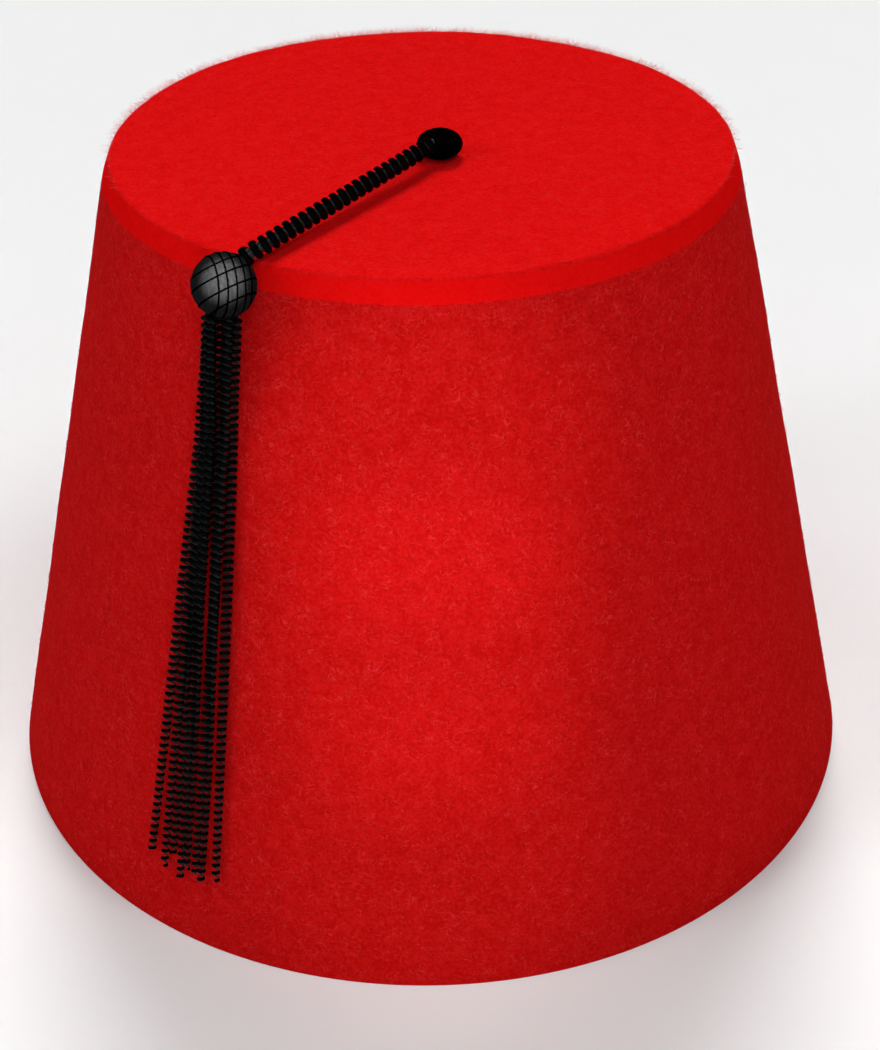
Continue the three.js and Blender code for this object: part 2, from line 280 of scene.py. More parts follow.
class Shader:
    """A material's nodes, with short names for what is used most."""

    def __init__(self, name):
        self.material = bpy.data.materials.new(name)
        self.material.use_nodes = True
        self.tree = self.material.node_tree
        self.surface = self.tree.nodes["Principled BSDF"]
        self.place = self.tree.nodes.new("ShaderNodeTexCoord").outputs["Object"]

    def node(self, kind, **settings):
        made = self.tree.nodes.new(kind)
        for key, value in settings.items():
            setattr(made, key, value)
        return made

    def link(self, source, socket):
        if isinstance(source, bpy.types.NodeSocket):
            self.tree.links.new(source, socket)
        else:
            socket.default_value = source

    def noise(self, scale, detail=2.0, roughness=0.5, distortion=0.0, place=None):
        made = self.node("ShaderNodeTexNoise")
        self.link(place or self.place, made.inputs["Vector"])
        made.inputs["Scale"].default_value = scale
        made.inputs["Detail"].default_value = detail
        made.inputs["Roughness"].default_value = roughness
        made.inputs["Distortion"].default_value = distortion
        return made.outputs["Fac"]

    def math(self, operation, first, second=0.0):
        made = self.node("ShaderNodeMath", operation=operation)
        for source, socket in zip((first, second), made.inputs):
            self.link(source, socket)
        return made.outputs[0]

    def ramp(self, value, low, high, start=0.0, end=1.0):
        made = self.node("ShaderNodeMapRange", interpolation_type="SMOOTHSTEP")
        self.link(value, made.inputs["Value"])
        for key, number in zip(("From Min", "From Max", "To Min", "To Max"), (low, high, start, end)):
            made.inputs[key].default_value = number
        return made.outputs[0]

    def mix(self, share, first, second):
        made = self.node("ShaderNodeMix", data_type="RGBA")
        self.link(share, made.inputs[0])
        for source, socket in ((first, made.inputs[6]), (second, made.inputs[7])):
            self.link(source if isinstance(source, bpy.types.NodeSocket) else (*source, 1.0), socket)
        return made.outputs[2]

    def moved(self, offset):
        made = self.node("ShaderNodeVectorMath", operation="ADD")
        self.link(self.place, made.inputs[0])
        made.inputs[1].default_value = offset
        return made.outputs[0]

    def bump(self, height, strength, distance, under=None):
        made = self.node("ShaderNodeBump")
        made.inputs["Strength"].default_value = strength
        made.inputs["Distance"].default_value = distance
        self.link(height, made.inputs["Height"])
        if under is not None:
            self.link(under, made.inputs["Normal"])
        return made.outputs[0]

    def finish(self, colour, roughness, normal=None, **values):
        self.link(colour if isinstance(colour, bpy.types.NodeSocket) else (*colour, 1.0),
                  self.surface.inputs["Base Color"])
        self.link(roughness, self.surface.inputs["Roughness"])
        if normal is not None:
            self.link(normal, self.surface.inputs["Normal"])
        for key, value in values.items():
            self.surface.inputs[key.replace("_", " ")].default_value = value
        return self.material


def curl_lines(shader, scale, width, offset):
    """Thin curved lines, like curled fibres: the contour of a soft noise, broken up by another."""
    field = shader.noise(scale, detail=1.0, roughness=0.4, distortion=0.6, place=shader.moved(offset))
    away = shader.math("ABSOLUTE", shader.math("SUBTRACT", field, 0.5))
    line = shader.ramp(away, 0.0, width, 1.0, 0.0)
    patches = shader.noise(scale * 0.55, detail=1.0, place=shader.moved((0.3, 0.7, 0.2)))
    return shader.math("MULTIPLY", line, shader.ramp(patches, 0.47, 0.58))


FELT_CURL = (0.62, 0.026, 0.027)
FELT_MOTTLE_RELIEF = 0.6 * MM
FELT_NAP_RELIEF = 0.12 * MM


def felt(name, ground, dark, curls, grain, sheen):
    """Pressed wool felt: mottled ground, curled fibres lying on it, and a fine nap."""
    shader = Shader(name)
    mottle = shader.noise(330.0, detail=4.0, roughness=0.62)
    speck = shader.noise(1500.0, detail=3.0, roughness=0.6)
    fine = shader.math("ADD", shader.math("MULTIPLY", mottle, 0.35), shader.math("MULTIPLY", speck, 0.65))
    colour = shader.mix(shader.ramp(fine, 0.38, 0.62), dark, ground)
    near = curl_lines(shader, 620.0, 0.030, (0.0, 0.0, 0.0))
    far = curl_lines(shader, 900.0, 0.034, (0.11, 0.05, 0.31))
    lines = shader.math("MAXIMUM", near, shader.math("MULTIPLY", far, 0.7))
    colour = shader.mix(shader.math("MULTIPLY", lines, curls), colour, FELT_CURL)
    height = shader.math("ADD", shader.math("MULTIPLY", speck, 0.6), shader.math("MULTIPLY", lines, 0.5))
    soft = shader.bump(mottle, 0.35 * grain, FELT_MOTTLE_RELIEF)
    normal = shader.bump(height, 0.5 * grain, FELT_NAP_RELIEF, soft)
    return shader.finish(colour, 0.95, normal, Specular_IOR_Level=0.0, Sheen_Weight=sheen,
                         Sheen_Roughness=0.45, Sheen_Tint=(1.0, 0.13, 0.12, 1.0))


# The top's and the band's grounds are lighter than the side's. This is painted light: brighter copies of
# the one felt for the light that falls on them. The band's few curls, weak grain and lack of sheen are
# its pressed smoothness.
FELTS = [  # name, ground, dark specks, how much the curls show, grain, sheen
    ("felt_side", (0.50, 0.0066, 0.0068), (0.41, 0.0028, 0.0030), 0.55, 1.00, 0.03),
    ("felt_band_lit", (0.67, 0.0038, 0.0038), (0.62, 0.0022, 0.0022), 0.03, 0.08, 0.00),
    ("felt_top_lit", (0.62, 0.0056, 0.0058), (0.54, 0.0024, 0.0026), 0.30, 0.50, 0.01),
]
felts = [felt(*values) for values in FELTS]


def fibre_material(name, dark, light):
    """Loose wool, a little darker in some places than in others."""
    shader = Shader(name)
    tone = shader.noise(120.0, detail=1.0)
    colour = shader.mix(shader.ramp(tone, 0.35, 0.65), dark, light)
    return shader.finish(colour, 0.95, None, Specular_IOR_Level=0.0)


CORD_STRAND_SCALE = 2600.0
TASSEL_STRAND_SCALE = 3200.0
NET_STRAND_SCALE = 4000.0
STRAND_RELIEF = 0.08 * MM


def yarn(name, dark, light, roughness, specular, strand_scale=CORD_STRAND_SCALE):
    """Black yarn, with the tone and the roughness broken up by its fine strands."""
    shader = Shader(name)
    strands = shader.noise(strand_scale, detail=3.0, roughness=0.65)
    lint = shader.noise(700.0, detail=2.0)
    colour = shader.mix(shader.ramp(strands, 0.40, 0.66), dark, light)
    rough = shader.ramp(lint, 0.3, 0.7, roughness - 0.08, roughness + 0.10)
    return shader.finish(colour, rough, shader.bump(strands, 0.6, STRAND_RELIEF),
                         Specular_IOR_Level=specular)


cord_yarn = yarn("cord_yarn", (0.0002, 0.0002, 0.0002), (0.0012, 0.0013, 0.0013), 0.60, 0.03)
# The core is a real inner tube, but its grey is a painted glint. It shows as light slivers between the
# black turns.
cord_core_glint = yarn("cord_core_glint", (0.016, 0.018, 0.018), (0.062, 0.067, 0.067), 0.45, 0.20)
tassel_yarn = yarn("tassel_yarn", (0.0002, 0.0002, 0.0002), (0.0012, 0.0015, 0.0015), 0.60, 0.03,
                   strand_scale=TASSEL_STRAND_SCALE)
# The inner halves of the turns are the same black yarn painted lighter grey. This is painted sheen on the
# back of the coils.
tassel_inside_sheen = yarn("tassel_inside_sheen", (0.016, 0.022, 0.022), (0.050, 0.058, 0.058), 0.60, 0.10,
                     strand_scale=TASSEL_STRAND_SCALE)
button_cloth = yarn("button_cloth", (0.0001, 0.0001, 0.0001), (0.0006, 0.0006, 0.0006), 0.85, 0.01)
net_thread = yarn("net_thread", (0.0001, 0.0001, 0.0001), (0.0003, 0.0003, 0.0003), 0.80, 0.0,
                  strand_scale=NET_STRAND_SCALE)
side_fibre = fibre_material("felt_fibre", (0.48, 0.006, 0.007), (0.62, 0.018, 0.019))
# The top's fibres are painted lighter than the top's felt to make up for the shade on their sides:
# painted light.
top_fibre_lit = fibre_material("top_fibre_lit", (0.66, 0.007, 0.008), (0.74, 0.020, 0.021))
# The edge fuzz is painted lighter and paler than the felt: painted light standing in for light shining
# through the thin fibres.
fuzz_fibre_lit = fibre_material("fuzz_fibre_lit", (0.72, 0.035, 0.035), (0.84, 0.075, 0.075))


def ball_material():
    """Satin thread wound up and down over the core."""
    shader = Shader("ball_satin")
    stretch = shader.node("ShaderNodeMapping")
    stretch.inputs["Scale"].default_value = (1.0, 1.0, 0.10)
    shader.link(shader.place, stretch.inputs["Vector"])
    threads = shader.noise(1900.0, detail=3.0, roughness=0.6, place=stretch.outputs[0])
    colour = shader.mix(shader.ramp(threads, 0.36, 0.66), (0.0065, 0.0065, 0.0066),
                        (0.0100, 0.0100, 0.0102))
    return shader.finish(colour, shader.ramp(threads, 0.3, 0.7, 0.60, 0.70),
                         shader.bump(threads, 0.18, STRAND_RELIEF), Specular_IOR_Level=0.0)


ball_satin = ball_material()

# Crown


def quarter(start, corner, end, steps):
    """Points round a corner, without its start."""
    share = (np.arange(steps) + 1.0)[:, None] / steps
    start, corner, end = (np.array(p, float) for p in (start, corner, end))
    return (1 - share) ** 2 * start + 2 * share * (1 - share) * corner + share ** 2 * end


def straight(start, end, step):
    """Points along a line, without its start."""
    start, end = np.array(start, float), np.array(end, float)
    count = max(1, int(round(np.linalg.norm(end - start) / step)))
    share = (np.arange(count) + 1.0)[:, None] / count
    return start + share * (end - start)


CROWN_SIDES = 288
MIDDLE_RADIUS = 0.5  # of the small faces that close the inside and the top
INNER_TOP_STEP = 3.0
INNER_SIDE_STEP = 4.0
RIM_STEP = 0.8
SIDE_STEP = 2.0
BAND_STEP = 0.5
TOP_STEP = 2.5
CORNER_STEPS = 6
RIM_STEPS = 3
UNEVEN_WAVES = 10
UNEVENNESSES = [  # seed, height, waves round the crown, their length along its outline
    (11, 0.10, (3, 12), (30, 90)), (12, 0.022, (20, 60), (6, 14)),
]
EVEN_RIM = 4.0  # height over which the unevenness fades in
EVEN_MIDDLE = 8.0  # radius over which it fades in
SIDE, BAND, TOP = 0, 1, 2  # the felts' places in the crown's list of materials


def crown_profile():
    """(radius, height) from the middle of the inside, round the rim, to the middle of the top, and
    what each stretch is."""
    inner_top = CROWN_HEIGHT - WALL

    def inner_radius(height):
        return RIM_RADIUS - WALL / math.cos(SIDE_LEAN) - height * math.tan(SIDE_LEAN)

    side = np.array([math.sin(SIDE_LEAN), -math.cos(SIDE_LEAN)])
    band = unit(np.array([SHOULDER_REACH, -SHOULDER_DROP]))
    inner_corner = np.array([inner_radius(inner_top), inner_top])
    inner_rim = np.array([inner_radius(0), 0.0])
    outer_rim = np.array([float(RIM_RADIUS), 0.0])
    shoulder = np.array([SHOULDER_RADIUS, SHOULDER_HEIGHT])
    top_edge = np.array([float(TOP_RADIUS), float(CROWN_HEIGHT)])
    stretches = []
    points = [np.array([MIDDLE_RADIUS, inner_top])]

    def go(found, what):
        points.extend(found)
        stretches.extend([what] * len(found))

    go(straight(points[-1], inner_corner - (INNER_CORNER_ROUND, 0), INNER_TOP_STEP), SIDE)
    go(quarter(points[-1], inner_corner, inner_corner + side * INNER_CORNER_ROUND, CORNER_STEPS), SIDE)
    go(straight(points[-1], inner_rim - side * RIM_ROUND, INNER_SIDE_STEP), SIDE)
    go(quarter(points[-1], inner_rim, inner_rim + (RIM_ROUND, 0), RIM_STEPS), SIDE)
    go(straight(points[-1], outer_rim - (RIM_ROUND, 0), RIM_STEP), SIDE)
    go(quarter(points[-1], outer_rim, outer_rim - side * RIM_ROUND, RIM_STEPS), SIDE)
    go(straight(points[-1], shoulder + side * SHOULDER_ROUND, SIDE_STEP), SIDE)
    corner = quarter(points[-1], shoulder, shoulder - band * SHOULDER_ROUND, CORNER_STEPS)
    go(corner[:CORNER_STEPS // 2], SIDE)
    go(corner[CORNER_STEPS // 2:], BAND)
    go(straight(points[-1], top_edge + band * TOP_EDGE_ROUND, BAND_STEP), BAND)
    go(quarter(points[-1], top_edge, top_edge - (TOP_EDGE_ROUND, 0), CORNER_STEPS), TOP)
    go(straight(points[-1], (MIDDLE_RADIUS, CROWN_HEIGHT), TOP_STEP), TOP)
    return np.array(points), stretches


def unevenness(azimuth, along, seed, amplitude, waves_round, waves_along):
    """A soft random unevenness that closes round the crown."""
    rng = np.random.default_rng(seed)
    total = np.zeros(np.broadcast(azimuth, along).shape)
    for _ in range(UNEVEN_WAVES):
        count = rng.integers(*waves_round)
        wave = rng.uniform(*waves_along) * rng.choice([-1, 1])
        total += np.sin(count * azimuth + 2 * math.pi * along / wave + rng.uniform(0, 2 * math.pi))
    return amplitude * total / math.sqrt(UNEVEN_WAVES)


def make_crown():
    """The outline turned round the crown's axis, slightly uneven but for its rim."""
    profile, stretches = crown_profile()
    tangent = unit(np.gradient(profile, axis=0))
    normal = np.stack([-tangent[:, 1], tangent[:, 0]], -1) * -1
    lengths = np.concatenate([[0], np.cumsum(np.linalg.norm(np.diff(profile, axis=0), axis=1))])
    azimuth = np.arange(CROWN_SIDES) * 2 * math.pi / CROWN_SIDES
    free = np.clip(profile[:, 1:] / EVEN_RIM, 0, 1) * np.clip(profile[:, :1] / EVEN_MIDDLE, 0, 1)
    lift = free * sum(unevenness(azimuth[None, :], lengths[:, None], *values)
                      for values in UNEVENNESSES)
    radius = profile[:, :1] + normal[:, :1] * lift
    height = profile[:, 1:] + normal[:, 1:] * lift
    points = np.stack([radius * np.sin(azimuth), -radius * np.cos(azimuth),
                       height + 0 * azimuth], -1).reshape(-1, 3)
    faces = closed_faces(len(profile), CROWN_SIDES)
    looks = np.repeat(stretches, CROWN_SIDES).tolist() + [SIDE, TOP]
    dress(mesh_object("crown_felt", points, faces, felts, looks), "felt", "crown")


make_crown()

# Button

BUTTON_SIDES = 96
BUTTON_ROWS = 40
BUTTON_POLE = 0.04  # angle that the last small face covers
GATHERS = 17
GATHER_DEPTH = 0.10
GATHER_START = 0.1  # how far above the widest place they begin, as a sine


def make_button():
    """A cloth-covered bun, gathered under its foot."""
    foot = -math.acos(BUTTON_FOOT_RADIUS / BUTTON_RADIUS)
    middle = GAP - BUTTON_HALF_HEIGHT * math.sin(foot)
    angles = np.linspace(foot, math.pi / 2 - BUTTON_POLE, BUTTON_ROWS)
    azimuth = np.arange(BUTTON_SIDES) * 2 * math.pi / BUTTON_SIDES
    low = np.clip(-np.sin(angles) + GATHER_START, 0, 1)[:, None]
    gather = GATHER_DEPTH * low * np.sin(GATHERS * azimuth)[None, :]
    radius = (BUTTON_RADIUS + gather) * np.cos(angles)[:, None]
    height = middle + BUTTON_HALF_HEIGHT * np.sin(angles)[:, None] + 0 * azimuth
    points = np.stack([radius * np.cos(azimuth), radius * np.sin(azimuth), height], -1)
    points = points.reshape(-1, 3) + BUTTON_AXIS
    faces = closed_faces(BUTTON_ROWS, BUTTON_SIDES)
    return dress(mesh_object("button_cover", points, faces, [button_cloth]), "button_cloth", "button")


button_cover = make_button()

# Cord

CORD_PITCH = 2.25
CORD_STEPS = 28  # round one turn
CORD_SIDES = 12
CORE_SIDES = 20
CORE_STEP = 1.0
CORD_YARN_ALONG = 0.76
CORD_YARN_OUT = 0.43
CORD_CORE = 1.02
CORD_FLAT = 1.60
CORD_TILT = 0.75
CORD_THIN = 0.65
CORD_START = [(0.025, 3.86, 0.42)]  # before the solid's first row, onto the button
CORD_END = [(0.88, 2.12, 0.92), (0.92, 1.62, 0.62), (0.95, 1.10, 0.41)]  # for its last three


def cord_points(rows):
    """Points of the cord, in mm, from rows like those of CORD_ROWS."""
    way = (BALL_CENTRE - BUTTON_AXIS) * (1, 1, 0)
    right = unit(np.array([-way[1], way[0], 0.0]))
    return np.array([BUTTON_AXIS + way * out + right * aside + (0, 0, lift)
                     for out, lift, aside in rows])


def make_cord():
    """Yarn wound in an open left-handed coil over a core, from the button into the ball."""
    points = cord_points(CORD_START + CORD_ROWS[:-3] + CORD_END)
    route, length = smooth_path(points, CORD_PITCH / CORD_STEPS)
    turns = -length / CORD_PITCH
    wound = coil(route, CAMERA_PLACE - route, turns, CORD_RADIUS - CORD_YARN_OUT, CORD_YARN_ALONG,
                 CORD_YARN_OUT, CORD_SIDES, flat=CORD_FLAT, tilt=CORD_TILT, thin=CORD_THIN)
    core, _ = smooth_path(points, CORE_STEP)
    along = unit(np.gradient(core, axis=0))
    up = np.cross(along, unit(np.cross((0.0, 0.0, 1.0), along)))
    inside = tube(core, up * CORD_CORE, np.cross(along, up) * CORD_CORE, CORE_SIDES)
    points, faces = joined([wound, inside])
    looks = [0] * len(wound[1]) + [1] * len(inside[1])
    piece = mesh_object("cord_wound", points, faces, [cord_yarn, cord_core_glint], looks)
    return dress(piece, "cord_yarn", "cord")


cord_wound = make_cord()

# Ball

BALL_SIDES = 112
BALL_ROWS = 56
BALL_POLE = 0.03  # angle that the small faces at the poles cover
RIBS = 28
RIB_HEIGHT = 0.03
BALL_SINK = 0.06  # of the surface under the net
NET_THREAD = 0.19
NET_RISE = 0.09
NET_SINK = 0.04
NET_STEPS = 96
NET_SIDES = 6
NET_RIGHT = (-0.45, -0.19, 0.09, 0.375, 0.63)
NET_UP = (0.55, 0.18, -0.26, -0.64)
NET_ACROSS = (0.951, 0.0, -0.307)  # the threads' normals, as the photograph sees them
NET_RISING = (-0.37, 0.92, -0.14)
NET_SEAM = (0.31, 0.22, 0.93)  # any direction that is no normal, for where a thread starts


def view_axes():
    """Axes at the ball as the photograph sees it: right, up and towards the viewer."""
    near = unit(CAMERA_PLACE - BALL_CENTRE)
    right = unit(np.cross((0.0, 0.0, 1.0), near))
    return np.stack([right, np.cross(near, right), near])


def make_ball():
    """The threaded ball, with the faint ribs of its thread."""
    polar = np.linspace(BALL_POLE, math.pi - BALL_POLE, BALL_ROWS)
    azimuth = np.arange(BALL_SIDES) * 2 * math.pi / BALL_SIDES
    out = np.stack([np.sin(polar)[:, None] * np.cos(azimuth), np.sin(polar)[:, None] * np.sin(azimuth),
                    np.cos(polar)[:, None] + 0 * azimuth], -1).reshape(-1, 3)
    ribs = RIB_HEIGHT * np.repeat(np.sin(polar), BALL_SIDES) * np.tile(np.sin(RIBS * azimuth), BALL_ROWS)
    points = BALL_CENTRE + out * (BALL_RADIUS - BALL_SINK + ribs)[:, None]
    faces = [face[::-1] for face in closed_faces(BALL_ROWS, BALL_SIDES)]
    return dress(mesh_object("ball_satin", points, faces, [ball_satin]), "ball_thread", "ball")


def net_ring(normal, shift):
    """A thread round the ball in the plane that its normal and its shift from the middle give."""
    normal = unit(np.array(normal, float))
    first = unit(np.cross(normal, NET_SEAM))
    second = np.cross(normal, first)
    angles = np.arange(NET_STEPS + 1) * 2 * math.pi / NET_STEPS
    out = math.sqrt(1 - shift ** 2) * (np.cos(angles)[:, None] * first
                                       + np.sin(angles)[:, None] * second) + shift * normal
    centres = BALL_CENTRE + out * (BALL_RADIUS - NET_SINK)
    along = unit(np.gradient(centres, axis=0))
    return tube(centres, out * NET_RISE, np.cross(along, out) * NET_THREAD, NET_SIDES)


def make_net():
    """Threads over the ball in two directions, placed as the photograph shows them."""
    right, up, near = view_axes()
    rings = []
    for (aside, rise, ahead), shifts in ((NET_ACROSS, NET_RIGHT), (NET_RISING, NET_UP)):
        normal = aside * right + rise * up + ahead * near
        rings += [net_ring(normal, shift) for shift in shifts]
    return dress(mesh_object("ball_net", *joined(rings), [net_thread]), "ball_thread")


ball = make_ball()
ball_net = make_net()

# Tassel

PITCH_TOP = 1.40
PITCH_TIP = 1.76
STRAND_TOP = 1.16
STRAND_TIP = 0.93
STRAND_NARROWS = 0.6  # share of its length from which a strand narrows
YARN_TOP = 0.34
YARN_TIP = 0.31
YARN_FLATNESS = 1.28
STRAND_SIDES = 8
STRAND_LEVEL = 0.28
STRAND_FLAT = 0.90
STRAND_TILT = 0.45
STRAND_THIN = 0.38
STRAND_STEP = 0.10
STRAND_INNER = -0.1  # cosine of the place where a turn's inner side begins
SHOWN_SIDE = (0.0, -0.79, 0.61)
BINDING_TURNS = 2
BINDING_STEPS = 40  # round one turn
BINDING_RADIUS = 2.6
BINDING_PITCH = 0.5
BINDING_YARN = 0.32
BINDING_SIDES = 8
HEAD_DOWN = BALL_TASSEL_FLAT - BALL_RISE + GAP


def lock_rows(lock):
    """A lock's points, with how far down the slope each is."""
    place, fifth, half, end, reach, layer = lock
    ring = HEAD_RADIUS - LOCK_RADIUS
    angle = math.radians(place)
    share = np.arange(LOCK_STEPS + 1) / LOCK_STEPS
    spread = TASSEL_SPREAD / 2
    lying = GAP + LOCK_RADIUS
    raised = lying + layer * LAYER_STEP
    across = np.interp(share, [0, LOCK_FIFTH, LOCK_HALF, 1],
                       [ring * math.cos(angle), fifth * spread, half * spread,
                        end * spread + TASSEL_DRIFT])
    out = np.interp(share, [0, LOCK_LANDING, LOCK_HALF, LOCK_SETTLED, 1],
                    [GAP + BALL_RADIUS + ring * math.sin(angle), raised, raised, lying, lying])
    down = HEAD_DOWN + HEAD_THICKNESS / 2 + share * reach * TASSEL_LENGTH
    return np.concatenate([beside_crown(down, across, out), down[:, None]], -1)


def strand_turns(down):
    """How many turns a strand has made at a distance down the slope, where the pitch grows evenly."""
    growth = (PITCH_TIP - PITCH_TOP) / TASSEL_LENGTH
    return np.log(1 + growth * down / PITCH_TOP) / growth


def make_strand(lock):
    """A lock as an open coil, and which of its faces are on the inner side of the turns."""
    rows, _ = smooth_path(lock_rows(lock), STRAND_STEP)
    route, down = rows[:, :3], rows[:, 3]
    shown = np.tile(SHOWN_SIDE, (len(route), 1))
    share = down / TASSEL_LENGTH
    yarn_radius = YARN_TOP + (YARN_TIP - YARN_TOP) * share
    narrowed = np.clip(share - STRAND_NARROWS, 0, 1) / (1 - STRAND_NARROWS)
    outer = STRAND_TOP + (STRAND_TIP - STRAND_TOP) * narrowed
    across = (np.arctan2(route[:, 0], -route[:, 1]) - BALL_AZIMUTH) * np.hypot(route[:, 0], route[:, 1])
    turns = strand_turns(down + STRAND_LEVEL * across)
    wound = coil(route, shown, turns, outer - yarn_radius, yarn_radius * YARN_FLATNESS, yarn_radius,
                 STRAND_SIDES, flat=STRAND_FLAT, tilt=-STRAND_TILT, thin=STRAND_THIN)
    return wound, inner_half(turns, STRAND_SIDES, STRAND_INNER)


def make_tassel():
    strands = [make_strand(lock) for lock in LOCKS]
    points, faces = joined([wound for wound, _ in strands])
    looks = [look for _, inner in strands for look in inner]
    coils = mesh_object("tassel_coils", points, faces, [tassel_yarn, tassel_inside_sheen], looks)
    dress(coils, "tassel_yarn", "tassel")


def make_binding():
    """Two turns of yarn round the tassel's head, under the ball."""
    angles = np.linspace(0, BINDING_TURNS * 2 * math.pi, BINDING_TURNS * BINDING_STEPS)
    axis = unit(DOWN_SLOPE)
    side = unit(np.cross(axis, (0.0, 0.0, 1.0)))
    out = np.cross(axis, side)
    down = HEAD_DOWN - BINDING_PITCH + BINDING_PITCH * angles / (2 * math.pi)
    away = np.cos(angles)[:, None] * side + np.sin(angles)[:, None] * out
    centres = beside_crown(0.0, 0.0, GAP + BALL_RADIUS) + down[:, None] * axis + BINDING_RADIUS * away
    along = unit(np.gradient(centres, axis=0))
    binding = tube(centres, away * BINDING_YARN, np.cross(along, away) * BINDING_YARN, BINDING_SIDES)
    dress(mesh_object("tassel_binding", *binding, [tassel_yarn]), "tassel_yarn")


make_tassel()
make_binding()

# Felt fibres

FIBRE_END = 0.5  # share of its thickness that a fibre has at its ends
FIBRE_UNEVEN = 0.25  # how unevenly a fibre turns, as a share of how much it turns

SIDE_FIBRES = 3500
SIDE_FIBRE_SEED = 21
SIDE_FIBRE_STEPS = 9
SIDE_FIBRE_LENGTH = (1.6, 3.6)
SIDE_FIBRE_TURNING = 3.2
SIDE_FIBRE_BOW = 0.16
SIDE_FIBRE_LIFT = 0.10
SIDE_FIBRE_THICKNESS = (0.018, 0.032)
SIDE_FIBRE_STARTS = (2.5, 2.0)  # least distance of its start from the shoulder and from the rim
SIDE_FIBRE_MARGINS = (1.5, 0.8)  # and of its other points

TOP_FIBRES = 1800
TOP_FIBRE_SEED = 22
TOP_FIBRE_STEPS = 8
TOP_FIBRE_LENGTH = (1.0, 2.4)
TOP_FIBRE_TURNING = 3.0
TOP_FIBRE_BOW = 0.05
TOP_FIBRE_LIFT = 0.07
TOP_FIBRE_THICKNESS = (0.013, 0.024)
TOP_FIBRE_REACH = 0.985  # share of the top's radius within which fibres start
TOP_FIBRE_MARGIN = 0.3  # between a fibre and the top's edge

FUZZ_FIBRES = 6500
FUZZ_SEED = 23
FUZZ_STEPS = 5
FUZZ_REACH = math.radians(115)
FUZZ_LEAN = (math.radians(5), math.radians(85))
FUZZ_SHORTEST = 0.3
FUZZ_LONGER = 2.2  # how much longer the longest are
FUZZ_POWER = 1.8  # above 1, so that most are short
FUZZ_DRIFT = 0.9
FUZZ_CURL = 0.4
FUZZ_FLATNESS = 0.7
FUZZ_INSIDE = 0.35  # how far inside the edge the fibres start
FUZZ_UNDER = 0.25  # and how far under the top
FUZZ_THICKNESS = (0.009, 0.016)


def fibre_tubes(points, normals, thickness):
    """Thin three-sided tubes along fibres, each given by its points and the felt's normals there."""
    along = unit(np.gradient(points, axis=1))
    aside = unit(np.cross(along, normals))
    over = np.cross(aside, along)
    count, steps = points.shape[:2]
    taper = np.ones(steps)
    taper[0] = taper[-1] = FIBRE_END
    rings = []
    for angle in (math.pi / 2, math.pi * 7 / 6, math.pi * 11 / 6):
        rings.append(points + (math.cos(angle) * aside + math.sin(angle) * over)
                     * (thickness[:, None, None] * taper[None, :, None]))
    corners = np.stack(rings, 2).reshape(-1, 3)
    one = closed_faces(steps, 3)
    faces = []
    for i in range(count):
        start = i * steps * 3
        faces.extend([tuple(corner + start for corner in face) for face in one])
    return corners, faces


def curls(rng, count, steps, lengths, turning):
    """Flat curled lines from the origin, with x and y for each step."""
    length = rng.uniform(*lengths, count)
    heading = rng.uniform(0, 2 * math.pi, (count, 1))
    bend = rng.normal(0, turning, (count, 1))
    bend = bend + rng.normal(0, turning * FIBRE_UNEVEN, (count, steps - 1))
    heading = heading + np.cumsum(bend, 1) / (steps - 1)
    step = length[:, None] / (steps - 1)
    x = np.concatenate([np.zeros((count, 1)), np.cumsum(np.cos(heading) * step, 1)], 1)
    y = np.concatenate([np.zeros((count, 1)), np.cumsum(np.sin(heading) * step, 1)], 1)
    return x, y


def bowed(rng, count, steps, bow, lift):
    """How far the points of fibres stand off the felt: up to lift at the ends, and bow more between."""
    arch = np.sin(np.linspace(0, math.pi, steps))[None, :] * rng.uniform(0.0, bow, (count, 1))
    return arch, rng.uniform(0.0, lift, (count, 1))


def side_fibres():
    """Curled fibres that lie on the side."""
    rng = np.random.default_rng(SIDE_FIBRE_SEED)
    count, steps = SIDE_FIBRES, SIDE_FIBRE_STEPS
    share = np.sqrt(rng.uniform((SHOULDER_RADIUS / RIM_RADIUS) ** 2, 1.0, count))
    down = (share * RIM_RADIUS - SHOULDER_RADIUS) / math.sin(SIDE_LEAN)
    down = np.clip(down, SIDE_FIBRE_STARTS[0], SIDE_LENGTH - SIDE_FIBRE_STARTS[1])
    azimuth = rng.uniform(0, 2 * math.pi, count)
    x, y = curls(rng, count, steps, SIDE_FIBRE_LENGTH, SIDE_FIBRE_TURNING)
    down = np.clip(down[:, None] + y, SIDE_FIBRE_MARGINS[0], SIDE_LENGTH - SIDE_FIBRE_MARGINS[1])
    arch, lift = bowed(rng, count, steps, SIDE_FIBRE_BOW, SIDE_FIBRE_LIFT)
    out = lift + arch
    radius = SHOULDER_RADIUS + down * math.sin(SIDE_LEAN) + out * math.cos(SIDE_LEAN)
    height = SHOULDER_HEIGHT - down * math.cos(SIDE_LEAN) + out * math.sin(SIDE_LEAN)
    angle = azimuth[:, None] + x / radius
    points = np.stack([radius * np.sin(angle), -radius * np.cos(angle), height], -1)
    normals = np.stack([np.sin(angle) * math.cos(SIDE_LEAN), -np.cos(angle) * math.cos(SIDE_LEAN),
                        np.full(angle.shape, math.sin(SIDE_LEAN))], -1)
    return fibre_tubes(points, normals, rng.uniform(*SIDE_FIBRE_THICKNESS, count))


